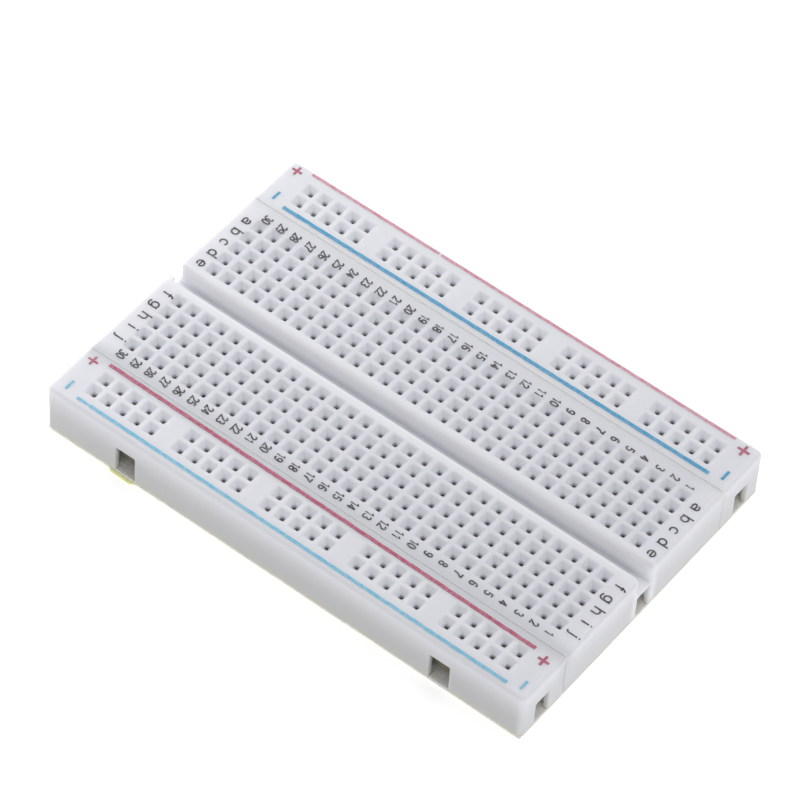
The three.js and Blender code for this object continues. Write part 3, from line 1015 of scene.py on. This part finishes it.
def clip_mesh(span, low, high):
    """Points and faces of a clip along its own length, centred, with slit fingers.

    span is the distance from its first contact to its last, and low and high are the
    CAD clip's corners.
    """
    height = high[2] - low[2] - METAL_THICKNESS / 2
    right = clip_profile(CLIP_HALF_WIDTH - METAL_THICKNESS / 2, height)
    profile = np.vstack([right[:0:-1] * (-1, 1), right])
    slit = profile[:, 1] > SPINE_HEIGHT - TINY
    contacts = round(span / PITCH) + 1
    half = span / 2 + POCKET_MARGIN - CLIP_GAP
    positions = [-half]
    for gap in range(contacts - 1):
        positions += around((gap + 0.5 - (contacts - 1) / 2) * PITCH, FINGER_GAP / 2)
    positions.append(half)
    count = len(profile)
    sheet = []
    for side in (1, -1):
        layer = offset_line(profile, side * METAL_THICKNESS / 2)
        for position in positions:
            sheet.extend((px, position, pz) for px, pz in layer)
    layer_size = count * len(positions)

    def at(layer, station, index):
        return layer * layer_size + station * count + index

    def filled(station, index):
        """Whether there is metal from a station to the next. Every second one is a slit."""
        if not (0 <= station < len(positions) - 1 and 0 <= index < count - 1):
            return False
        return station % 2 == 0 or not (slit[index] and slit[index + 1])

    faces = []
    for station in range(len(positions) - 1):
        for index in range(count - 1):
            if not filled(station, index):
                continue
            a, b = (station, index), (station, index + 1)
            c, d = (station + 1, index + 1), (station + 1, index)
            faces.append([at(0, *a), at(0, *b), at(0, *c), at(0, *d)])
            faces.append([at(1, *d), at(1, *c), at(1, *b), at(1, *a)])
            walls = (
                (a, b, (station - 1, index)), (b, c, (station, index + 1)),
                (c, d, (station + 1, index)), (d, a, (station, index - 1)),
            )
            for p, q, beyond in walls:
                if not filled(*beyond):
                    faces.append([at(0, *q), at(0, *p), at(1, *p), at(1, *q)])
    points = np.array(sheet)
    points[:, 2] += low[2] + METAL_THICKNESS / 2
    return compact(points, faces)


def clip_object(place, mesh, turned, x, y, body, node):
    points, faces = mesh
    placed = points[:, [1, 0, 2]] * (1, -1, 1) if turned else points.copy()
    placed += (x, y, 0)
    piece = make_object(f"spring_clip_{place}", placed, faces, METAL, body, "clip_metal", sharp=50)
    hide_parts(node)


def spring_clips():
    box = low_high("clip_ae_row_01")
    row_clip = clip_mesh(CLIP_SPAN, *box)
    for row in range(1, ROWS + 1):
        odd = row - (row - 1) % 2
        columns = (
            ("ae", CLIP_Y, f"clip_ae_row_{row:02d}"),
            ("fj", -CLIP_Y, f"clips_fj_rows_{odd:02d}_{odd + 1:02d}"),
        )
        for letters, y, node in columns:
            clip_object(f"{letters}_{row:02d}", row_clip, False, row_x(row), y, "terminal_strip", node)
    bus_clip = clip_mesh((BUS_GROUPS * BUS_GROUP_PITCH - 2) * PITCH, *box)
    for side in ("front", "rear"):
        for sign, y in zip(("negative", "positive"), bus_columns(side)):
            node = f"{side}_{sign}_bus_clip"
            clip_object(f"{side}_{sign}", bus_clip, True, 0.0, y, f"{side}_bus_strip", node)


spring_clips()

# ---- Foam pads and liner ----

WAVE_TERMS = 7
WAVE_SHORTER = 1.7          # each term is this much shorter than the last,
WAVE_FAINTER = 0.75         # and has this share of its height


def waves(values, seed, size, longest=30.0):
    """A smooth seeded wander along a line, of about the given size."""
    random = np.random.default_rng(seed)
    total = np.zeros(len(values))
    for term in range(WAVE_TERMS):
        length = longest / (WAVE_SHORTER ** term)
        phase = random.uniform(0, 2 * math.pi)
        total += np.sin(values * 2 * math.pi / length + phase) * WAVE_FAINTER ** term
    return total * size / 2


FOAM_GRID = (0.6, 0.9)      # spacing of its points along X and Y
FOAM_LAYERS = (0, 0.15, 0.4, 0.6, 0.85, 1)
FOAM_FOOT = 0.01            # of its thickness: a pad starts just clear of its bed
FOAM_RISE = 0.975           # and stops just short of its block
FOAM_BELLY = 0.07           # how far the middle of a pad's sides stands out
FOAM_RAGGED = 0.05


def foam_pad(strip, notched, seed):
    """A die-cut foam pad: sides a little ragged and pressed out in the middle."""
    body = "terminal_strip" if strip == "terminal" else f"{strip}_bus_strip"
    low, high = low_high(f"{strip}_foam_pad")
    half = SIDE_SOCKET[0] / 2 + ROOM_EXTRA + CLIP_GAP
    depth = SOCKET_BACK + CLIP_GAP - (STRIP_INNER - TERMINAL_HALF) / 2
    notches = (-DOVETAIL_X, DOVETAIL_X) if notched else ()
    thickness = high[2] - low[2]
    pad = Lattice(
        lines(np.arange(low[0], high[0], FOAM_GRID[0]), [high[0]], *(around(x, half) for x in notches)),
        lines(np.arange(low[1], high[1], FOAM_GRID[1]), [high[1]], [low[1] + depth] if notched else []),
        lines([low[2] + thickness * share for share in FOAM_LAYERS]),
    )
    pad.add(low, high)
    for x in notches:
        pad.cut((x - half, low[1], low[2]), (x + half, low[1] + depth, high[2]))
    faces = pad.faces()
    points = pad.points()
    share = (points[:, 2] - low[2]) / thickness
    belly = 4 * share * (1 - share)
    for axis, other in ((0, 1), (1, 0)):
        for edge, inward in ((low[axis], 1), (high[axis], -1)):
            at_edge = abs(points[:, axis] - edge) < TINY
            ragged = abs(waves(points[:, other], seed + axis, FOAM_RAGGED)) + FOAM_BELLY * (1 - belly)
            points[at_edge, axis] += inward * ragged[at_edge]
    points[:, 2] = low[2] + thickness * (FOAM_FOOT + FOAM_RISE * share)
    piece = make_object(f"{strip}_adhesive_foam", *compact(points, faces), FOAM, body, "foam", sharp=60)
    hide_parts(f"{strip}_foam_pad")


foam_pad("front", notched=False, seed=11)
foam_pad("terminal", notched=True, seed=21)
foam_pad("rear", notched=True, seed=31)

LIP_START = -30.2           # where the liner's front edge is curled up
LIP_END = -25.2
LIP_RISE = 0.16
LIP_REACH = 0.06
LIP_LEAN = 0.25             # further out at the paper's underside
LIP_FADE = 0.8              # from its ends and from the edge inward
CREEP_END = -21.0           # left of here the paper has crept forward a little
LINER_INSET = 0.38          # how far the paper stops short of its nominal edge
CREEP_SHARE = 0.3           # of that distance
PAPER_RAGGED = 0.08
PAPER_GRID = (0.5, 1.2)
NEAR_FRONT = (0.15, 0.3, 0.5, 0.8, 1.1)    # closer rows of points along the front edge
EDGE_REACH = 1.5            # how far in from an edge the paper's outline is moved


def release_liner():
    """A thin paper sheet, nearly flat, with one stretch of its front edge curled up."""
    low, high = LINER_LOW, LINER_HIGH
    xs = lines(np.arange(low[0], high[0], PAPER_GRID[0]), [high[0]])
    front_rows = [low[1] + step for step in NEAR_FRONT]
    ys = lines(np.arange(low[1], high[1], PAPER_GRID[1]), [high[1]], front_rows)
    sheet = Lattice(xs, ys, lines([low[2], high[2]]))
    sheet.add(low, high)
    faces = sheet.faces()
    points = sheet.points()
    x, y = points[:, 0].copy(), points[:, 1].copy()
    ends = np.clip((x - LIP_START) / LIP_FADE, 0, 1) * np.clip((LIP_END - x) / LIP_FADE, 0, 1)
    ends = smooth(ends)
    for axis, other, seed in ((0, y, 5), (1, x, 7)):
        for edge, inward in ((low[axis], 1), (high[axis], -1)):
            near = np.clip(1 - abs(points[:, axis] - edge) / EDGE_REACH, 0, 1)
            front = (axis == 1) * (inward > 0)
            inset = LINER_INSET * (1 - np.maximum(ends, CREEP_SHARE * (x < CREEP_END)) * front)
            ragged = abs(waves(other, seed + inward, PAPER_RAGGED))
            points[:, axis] += inward * near * (inset + ragged)
    curl = np.clip(1 - (y - low[1]) / LIP_FADE, 0, 1) * ends
    points[:, 1] -= curl * (LIP_REACH + LIP_LEAN * (high[2] - points[:, 2]) / (high[2] - low[2]))
    points[:, 2] += curl ** 2 * LIP_RISE
    body = "release_liner"
    piece = make_object("yellow_release_liner", *compact(points, faces), PAPER, body, "liner", sharp=60)
    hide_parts("release_liner")


release_liner()

# ---- Ink ----


def surface_z(points, deck):
    """The height of a block's top at each point, following its rounded edges."""
    dx, dy, rim = deck.edges(points[:, 0], points[:, 1])
    a = np.clip(rim - np.minimum(dx, dy), 0, rim * INK_REACH)
    return TOP_Z - (rim - np.sqrt(rim ** 2 - a ** 2))


def film(outlines, deck):
    """A thin film over flat faces given as (points in x and y, faces).

    Neighbours in the list may overlap, so their heights differ a little.
    """
    points, faces = [], []
    for order, (flat, flat_faces) in enumerate(outlines):
        flat = np.asarray(flat, float)
        height = surface_z(flat, deck) + order % INK_LEVELS * INK_STEP
        first = len(points)
        count = len(flat)
        for lift in (INK_THICKNESS, -INK_ROOT):
            points.extend(np.column_stack([flat, height + lift]).tolist())
        edges = {}
        for face in flat_faces:
            faces.append([first + v for v in face])
            faces.append([first + count + v for v in reversed(face)])
            for a, b in zip(face, [*face[1:], face[0]]):
                edges[(a, b)] = True
        for a, b in edges:
            if (b, a) not in edges:
                faces.append([first + b, first + a, first + count + a, first + count + b])
    return points, faces


def arc(x, y, rx, ry, start, end):
    """Points on an ellipse round (x, y), from one angle to another in degrees."""
    steps = max(2, round(abs(end - start) / 18))
    angles = [math.radians(start + (end - start) * step / steps) for step in range(steps + 1)]
    return [(x + rx * math.cos(angle), y + ry * math.sin(angle)) for angle in angles]


def loop(x, y, rx, ry):
    return arc(x, y, rx, ry, 0, 360)


DIGIT_STROKES = {            # pen strokes on a body one unit tall
    "0": [loop(0, 0.5, 0.185, 0.43)],
    "1": [[(-0.13, 0.74), (0.0, 0.80), (0.07, 0.93), (0.07, 0.0)]],
    "2": [[*arc(0, 0.69, 0.185, 0.24, 165, -35), (-0.19, 0.07), (0.23, 0.07)]],
    "3": [arc(-0.01, 0.715, 0.165, 0.215, 150, -90), arc(-0.01, 0.285, 0.195, 0.215, 90, -155)],
    "4": [[(0.09, 0.0), (0.09, 0.9)], [(0.09, 0.88), (-0.19, 0.28), (0.24, 0.28)]],
    "5": [[(0.2, 0.93), (-0.11, 0.93), (-0.155, 0.51), *arc(0.0, 0.335, 0.19, 0.265, 115, -150)]],
    "6": [loop(0.005, 0.31, 0.18, 0.24), [(-0.175, 0.31), *arc(0.015, 0.5, 0.19, 0.43, 180, 45)]],
    "7": [[(-0.21, 0.93), (0.2, 0.93), *arc(0.36, 0.1, 0.42, 0.72, 118, 188)]],
    "8": [loop(0, 0.72, 0.155, 0.21), loop(0, 0.285, 0.19, 0.215)],
    "9": [loop(-0.005, 0.69, 0.18, 0.24), [(0.175, 0.69), *arc(-0.015, 0.5, 0.19, 0.43, 0, -135)]],
}
LETTER_STROKES = {           # a small x is one unit tall
    "a": [[*arc(0.01, 0.64, 0.33, 0.28, 165, 0), (0.34, 0.0)],
          [(0.34, 0.54), *arc(-0.04, 0.31, 0.32, 0.23, 90, 325)]],
    "b": [[(-0.36, 1.4), (-0.36, 0.0)], loop(0.0, 0.5, 0.37, 0.42)],
    "c": [arc(0.02, 0.5, 0.37, 0.42, 45, 315)],
    "d": [[(0.36, 1.4), (0.36, 0.0)], loop(0.0, 0.5, 0.37, 0.42)],
    "e": [[(-0.38, 0.5), (0.38, 0.5)], arc(0.0, 0.5, 0.39, 0.42, 0, 318)],
    "f": [[(-0.04, 0.0), (-0.04, 1.08), *arc(0.2, 1.08, 0.24, 0.25, 170, 85)],
          [(-0.24, 0.92), (0.22, 0.92)]],
    "g": [[(0.36, 1.0), (0.36, 0.0), *arc(0.0, 0.0, 0.36, 0.32, -10, -150)],
          loop(0.0, 0.5, 0.37, 0.42)],
    "h": [[(-0.35, 1.4), (-0.35, 0.0)], [*arc(0.0, 0.58, 0.34, 0.34, 180, 0), (0.34, 0.0)]],
    "i": [[(0.0, 1.0), (0.0, 0.0)], [(0.0, 1.4), (0.0, 1.22)]],
    "j": [[(0.08, 1.0), (0.08, -0.08), *arc(-0.12, -0.08, 0.2, 0.24, -10, -110)],
          [(0.08, 1.4), (0.08, 1.22)]],
}


MITRE_LIMIT = 0.55          # keeps a stroke's sharp corners short


def pen_stroke(path, width):
    """A flat band of the pen's width along a path, which may end where it starts."""
    path = np.asarray(path, float)
    closed = np.allclose(path[0], path[-1])
    if closed:
        path = path[:-1]
        onward = np.roll(path, -1, 0) - path
    else:
        onward = np.diff(path, axis=0)
    normals = np.column_stack([-onward[:, 1], onward[:, 0]])
    normals /= np.linalg.norm(normals, axis=1)[:, None]
    if closed:
        before, after = np.roll(normals, 1, 0), normals
    else:
        before, after = np.vstack([normals[:1], normals]), np.vstack([normals, normals[-1:]])
    mitre = (before + after) / np.maximum(1 + (before * after).sum(1), MITRE_LIMIT)[:, None]
    points = np.vstack([path + mitre * width / 2, path - mitre * width / 2])
    count = len(path)
    faces = []
    for i in range(count if closed else count - 1):
        j = (i + 1) % count
        faces.append([count + i, count + j, j, i])
    return points, faces


def set_text(text, strokes, x, y, size, advance, pen):
    """Pen strokes of a text whose up is +X, standing at x with its middle at y."""
    outlines = []
    for place, character in enumerate(text):
        across = (place - (len(text) - 1) / 2) * advance
        for path in strokes[character]:
            points, faces = pen_stroke(np.array(path) * size, pen)
            outlines.append((np.column_stack([x + points[:, 1], y - across - points[:, 0]]), faces))
    return outlines


def ink_piece(strip, mark, outlines, deck, material, colour):
    make_object(f"{mark}_ink", *film(outlines, deck), material, strip, f"ink_{colour}")


DIGIT_HEIGHT = 1.45
DIGIT_ADVANCE = 0.74
DIGIT_PEN = 0.24
FRONT_NUMBERS_Y = -16.2
REAR_NUMBERS_Y = 15.7


def row_numbers():
    outlines = []
    size = (DIGIT_HEIGHT, DIGIT_ADVANCE, DIGIT_PEN)
    for row in range(1, ROWS + 1):
        foot = row_x(row) - DIGIT_HEIGHT / 2
        for y in (FRONT_NUMBERS_Y, REAR_NUMBERS_Y):
            outlines += set_text(str(row), DIGIT_STROKES, foot, y, *size)
    ink_piece("terminal_strip", "row_numbers", outlines, TERMINAL_DECK, INK_BLACK, "black")


LETTER_HEIGHT = 1.3         # height of a small x
LETTER_PEN = 0.25
LETTER_ENDS = (              # baseline x, then y from the column for a to e and f to j
    (38.75, -0.6, -0.35),
    (-39.64, -0.28, -0.04),
)


def column_letters():
    outlines = []
    for baseline, first_shift, second_shift in LETTER_ENDS:
        for letter in COLUMNS:
            y = column_y(letter) + (first_shift if letter < "f" else second_shift)
            outlines += set_text(letter, LETTER_STROKES, baseline, y, LETTER_HEIGHT, 0.0, LETTER_PEN)
    ink_piece("terminal_strip", "column_letters", outlines, TERMINAL_DECK, INK_BLACK, "black")


def bar(x0, x1, y0, y1):
    return [(x0, y0), (x1, y0), (x1, y1), (x0, y1)], [[0, 1, 2, 3]]


def plus_sign(x, y, size, stroke):
    half, arm = stroke / 2, size / 2
    xs = (-arm, -half, half, arm)
    points = [(x + px, y + py) for px in xs for py in xs]
    cells = [(0, 1), (1, 0), (1, 1), (1, 2), (2, 1)]
    return points, [[4 * i + j, 4 * i + 4 + j, 4 * i + 5 + j, 4 * i + 1 + j] for i, j in cells]


def minus_sign(x, y, size, stroke):
    return bar(x - stroke / 2, x + stroke / 2, y - size / 2, y + size / 2)


LINE_STEP = 0.35
LINE_WANDER = 0.03          # how uneven a line's edges are
LINE_STRIPS = 4             # side by side, so that the line bends over a rounded edge


def printed_line(x0, x1, y0, y1, width, seed, gaps=()):
    """A line from (x0, y0) to (x1, y1) with slightly uneven edges and some gaps."""
    xs = lines(np.arange(x0, x1, LINE_STEP), [x1])
    middle = y0 + (y1 - y0) * (xs - x0) / (x1 - x0)
    upper = middle + width / 2 + waves(xs, seed, LINE_WANDER, longest=4.0)
    lower = middle - width / 2 + waves(xs, seed + 1, LINE_WANDER, longest=4.0)
    shares = np.linspace(0, 1, LINE_STRIPS + 1)
    points = np.vstack([np.column_stack([xs, lower + (upper - lower) * share]) for share in shares])
    count = len(xs)
    faces = []
    for i in range(count - 1):
        centre = (xs[i] + xs[i + 1]) / 2
        if not any(a < centre < b for a, b in gaps):
            for first in range(i, i + LINE_STRIPS * count, count):
                faces.append([first, first + 1, count + first + 1, count + first])
    return compact(points, faces)


def bus_ink():
    marks = {
        "front": {
            "red_line": (INK_RED, [printed_line(-36.9, 36.9, -18.70, -19.36, 0.6, 3)]),
            "plus": (INK_RED, [plus_sign(38.9, -20.3, 1.8, 0.4), plus_sign(-39.1, -19.6, 1.7, 0.34)]),
            "blue_line": (INK_PALE_BLUE, [
                printed_line(-36.6, -35.0, -25.97, -25.97, 0.5, 13),
                printed_line(-35.0, -34.3, -25.97, -25.97, 0.3, 15),
                printed_line(-34.3, 37.3, -25.97, -26.20, 0.56, 5),
            ]),
            "minus": (INK_PALE_BLUE, [
                minus_sign(39.3, -25.1, 1.65, 0.4), minus_sign(-38.8, -24.9, 1.8, 0.4),
            ]),
        },
        "rear": {
            "blue_line": (INK_BLUE, [printed_line(-36.7, 37.3, 19.03, 19.28, 0.62, 7)]),
            "minus": (INK_BLUE, [
                minus_sign(39.3, 20.4, 1.8, 0.44), minus_sign(-38.8, 20.1, 1.65, 0.4),
            ]),
            "red_line": (INK_PALE_RED, [
                printed_line(-37.3, 36.7, 26.5, 26.5, 0.46, 9, gaps=[(-14.6, -14.2), (8.75, 9.05)]),
            ]),
            "plus": (INK_RED, [plus_sign(38.7, 25.5, 1.95, 0.4), plus_sign(-39.4, 25.6, 1.7, 0.36)]),
        },
    }
    for side, deck in (("front", FRONT_DECK), ("rear", REAR_DECK)):
        for mark, (material, outlines) in marks[side].items():
            colour = "red" if mark in ("red_line", "plus") else "blue"
            ink_piece(f"{side}_bus_strip", f"{side}_{mark}", outlines, deck, material, colour)


row_numbers()
column_letters()
bus_ink()

# ---- Stage ----

FLOOR_SIZE = 6.0            # metres
FLOOR_GLOW = 0.43           # keeps the pale floor white round the object
FLOOR_DROP = 0.02           # below the liner


def make_floor():
    mesh = bpy.data.meshes.new("floor")
    half = FLOOR_SIZE / 2
    corners = [(-half, -half, 0), (half, -half, 0), (half, half, 0), (-half, half, 0)]
    mesh.from_pydata(corners, [], [(0, 1, 2, 3)])
    material = bpy.data.materials.new("floor")
    material.use_nodes = True
    settings = {
        "Base Color": (0.92, 0.92, 0.92, 1), "Roughness": 0.9, "Specular IOR Level": 0.1,
        "Emission Color": (1, 1, 1, 1), "Emission Strength": FLOOR_GLOW,
    }
    for name, value in settings.items():
        material.node_tree.nodes["Principled BSDF"].inputs[name].default_value = value
    mesh.materials.append(material)
    floor = add_to_scene("floor", mesh)
    floor.location.z = (LINER_LOW[2] - FLOOR_DROP) * MM


def area_light(name, azimuth, elevation, distance, size, power):
    """A soft square light that faces the middle of the object. Distance and size in metres."""
    back = outward(azimuth, elevation)
    data = bpy.data.lights.new(name, "AREA")
    data.energy = power
    data.size = size
    light = add_to_scene(name, data)
    light.location = back * distance
    light.rotation_mode = "QUATERNION"
    light.rotation_quaternion = back.to_track_quat("Z", "Y")


SKY_COLOUR = (0.985, 0.988, 1.0)
SKY_ZENITH = 0.85
SKY_HORIZON = 0.02
SKY_SIDE = 0.37             # more light from +X
SKY_FRONT_SHADE = 0.97
SKY_SHADE_TOP = 0.5         # the sine of the elevation where the front's shade ends


def studio_sky(world):
    """A soft studio dome: bright overhead, grey at the horizon, dark low at the front."""
    sky = Nodes(world.node_tree)
    direction = sky.node("ShaderNodeTexCoord").outputs["Generated"]
    x, y, z = (sky.axis(direction, name) for name in "XYZ")
    up = sky.math("MAXIMUM", z)
    dome = sky.math("ADD", sky.product(up, SKY_ZENITH - SKY_HORIZON), SKY_HORIZON)
    front = sky.math("MAXIMUM", sky.product(y, -1.0))
    low = sky.math("MAXIMUM", sky.math("SUBTRACT", 1.0, sky.math("DIVIDE", up, SKY_SHADE_TOP)))
    shade = sky.math("SUBTRACT", 1.0, sky.product(front, low, SKY_FRONT_SHADE))
    side = sky.product(sky.math("MAXIMUM", x), SKY_SIDE)
    background = sky.tree.nodes["Background"]
    background.inputs["Color"].default_value = (*SKY_COLOUR, 1.0)
    sky.link(sky.math("ADD", sky.product(dome, shade), side), background.inputs["Strength"])


def make_studio():
    world = bpy.data.worlds.new("studio")
    bpy.context.scene.world = world
    world.use_nodes = True
    studio_sky(world)
    area_light("left_light", azimuth=268, elevation=30, distance=0.22, size=0.15, power=0.145)
    area_light("rear_light", azimuth=195, elevation=45, distance=0.28, size=0.3, power=0.125)
    bpy.context.scene.view_settings.view_transform = "Standard"


make_floor()
make_studio()
